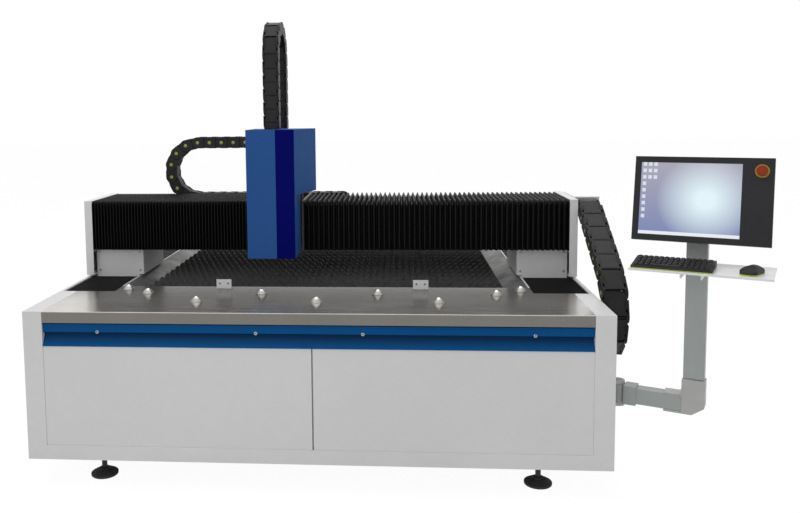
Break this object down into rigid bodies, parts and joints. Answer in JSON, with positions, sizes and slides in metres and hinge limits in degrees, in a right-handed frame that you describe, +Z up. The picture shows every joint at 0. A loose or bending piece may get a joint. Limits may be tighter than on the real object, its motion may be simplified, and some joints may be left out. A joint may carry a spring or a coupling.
{
  "type": "fiber laser cutting machine",
  "caption": "Open flat-bed fibre laser sheet cutter: slatted table, bellows-covered bridge gantry, hooded cutting head on a cross carriage, and a swing-out operator console.",
  "frame": {"origin": "middle of the part's floor area, on the floor", "axes": "+Z up, +X to the console side, +Y from the operator's front end to the back"},
  "size_m": [3.0502, 4.7739, 2.0727],
  "materials": {
    "white_paint": "satin powder coat",
    "blue_paint": "satin powder coat",
    "navy_paint": "satin powder coat",
    "stainless": "brushed",
    "bare_steel": "ground",
    "grey_sheet": "galvanised sheet",
    "slat_steel": "dark rolled steel",
    "bellows_cloth": "coated cloth",
    "black_plastic": "moulded",
    "foot_rubber": "moulded",
    "motor_black": "semi-gloss",
    "head_alloy": "anodised",
    "copper": "turned",
    "grey_alloy": "grey coated casting",
    "monitor_black": "fine texture",
    "screen_glass": "lit display",
    "signal_yellow": "moulded",
    "signal_red": "moulded"
  },
  "bodies": {
    "bed": {"bed_frame": "white_paint", "front_surround": "white_paint", "front_panels": "white_paint", "blue_trim": "blue_paint", "front_table": "stainless", "ball_transfers": "stainless", "bed_stops": "white_paint", "inner_plates": "grey_sheet", "cover_edges": "white_paint", "slat_rack": "slat_steel", "slats": "slat_steel", "scrap_tray": "grey_sheet", "rear_panel": "white_paint", "side_panels": "white_paint", "y_rails": "bare_steel", "y_racks": "bare_steel", "foot_pads": "foot_rubber", "foot_studs": "bare_steel", "front_covers": "bellows_cloth", "rear_covers": "bellows_cloth", "y_chain_tray": "grey_sheet", "y_chain": "black_plastic", "wall_bracket": "grey_alloy"},
    "gantry": {"gantry_beam": "white_paint", "end_caps": "white_paint", "gantry_legs": "white_paint", "y_blocks": "bare_steel", "y_motors": "motor_black", "x_rails": "bare_steel", "x_rack": "bare_steel", "bellows_left": "bellows_cloth", "bellows_right": "bellows_cloth", "x_chain_tray": "grey_sheet", "x_chain": "black_plastic", "y_chain_bracket": "grey_sheet"},
    "y_pinion_left": {"y_pinion_left": "bare_steel"},
    "y_pinion_right": {"y_pinion_right": "bare_steel"},
    "carriage": {"carriage_plate": "bare_steel", "x_blocks": "bare_steel", "x_motor": "motor_black", "head_cover": "blue_paint", "cover_stripe": "navy_paint", "z_motor": "motor_black", "z_rails": "bare_steel", "z_chain": "black_plastic"},
    "x_pinion": {"x_pinion": "bare_steel"},
    "z_screw": {"z_screw": "bare_steel"},
    "laser_head": {"z_slide": "bare_steel", "laser_head": "head_alloy", "nozzle": "copper"},
    "console": {"arm_tube": "grey_alloy", "elbow": "grey_alloy", "column": "grey_alloy", "keyboard_tray": "white_paint", "keyboard": "black_plastic", "mouse": "black_plastic", "monitor": "monitor_black", "screen": "screen_glass", "estop_ring": "signal_yellow"},
    "estop": {"estop_button": "signal_red"}
  },
  "joints": [
    {"name": "gantry_slide", "type": "slide", "parent": "bed", "child": "gantry", "axis": [0, 1, 0], "range_m": [-0.1, 2.9], "deforming": ["front_covers", "rear_covers", "y_chain"]},
    {"name": "left_pinion_spin", "type": "hinge", "parent": "gantry", "child": "y_pinion_left", "pos_m": [-1.37313, -1.04305, 0.705], "axis": [0, 0, 1], "range_deg": [-210, 5940]},
    {"name": "right_pinion_spin", "type": "hinge", "parent": "gantry", "child": "y_pinion_right", "pos_m": [0.82287, -1.04305, 0.705], "axis": [0, 0, 1], "range_deg": [-5940, 210]},
    {"name": "head_slide", "type": "slide", "parent": "gantry", "child": "carriage", "axis": [1, 0, 0], "range_m": [-0.555, 0.945], "deforming": ["bellows_left", "bellows_right", "x_chain"]},
    {"name": "cross_pinion_spin", "type": "hinge", "parent": "carriage", "child": "x_pinion", "pos_m": [-0.58013, -1.16305, 1.032], "axis": [0, 1, 0], "range_deg": [-1330, 2262]},
    {"name": "head_lift", "type": "slide", "parent": "carriage", "child": "laser_head", "axis": [0, 0, 1], "range_m": [-0.12, 0], "deforming": ["z_chain"]},
    {"name": "lift_screw_spin", "type": "hinge", "parent": "carriage", "child": "z_screw", "pos_m": [-0.47013, -1.22505, 1.2], "axis": [0, 0, 1], "range_deg": [-4325, 5]},
    {"name": "console_swing", "type": "hinge", "parent": "bed", "child": "console", "pos_m": [1.02487, -1.86305, 0.415], "axis": [0, 0, 1], "range_deg": [-40, 40]},
    {"name": "estop_press", "type": "slide", "parent": "console", "child": "estop", "axis": [-0.4288, -0.8792, 0.2079], "range_m": [-0.006, 0], "stiffness_N_per_m": 1500}
  ],
  "couplings": [
    {"joint": "left_pinion_spin", "follows": "gantry_slide", "rad_per_m": 35.714},
    {"joint": "right_pinion_spin", "follows": "gantry_slide", "rad_per_m": -35.714},
    {"joint": "cross_pinion_spin", "follows": "head_slide", "rad_per_m": 41.667},
    {"joint": "lift_screw_spin", "follows": "head_lift", "rad_per_m": 628.32}
  ]
}
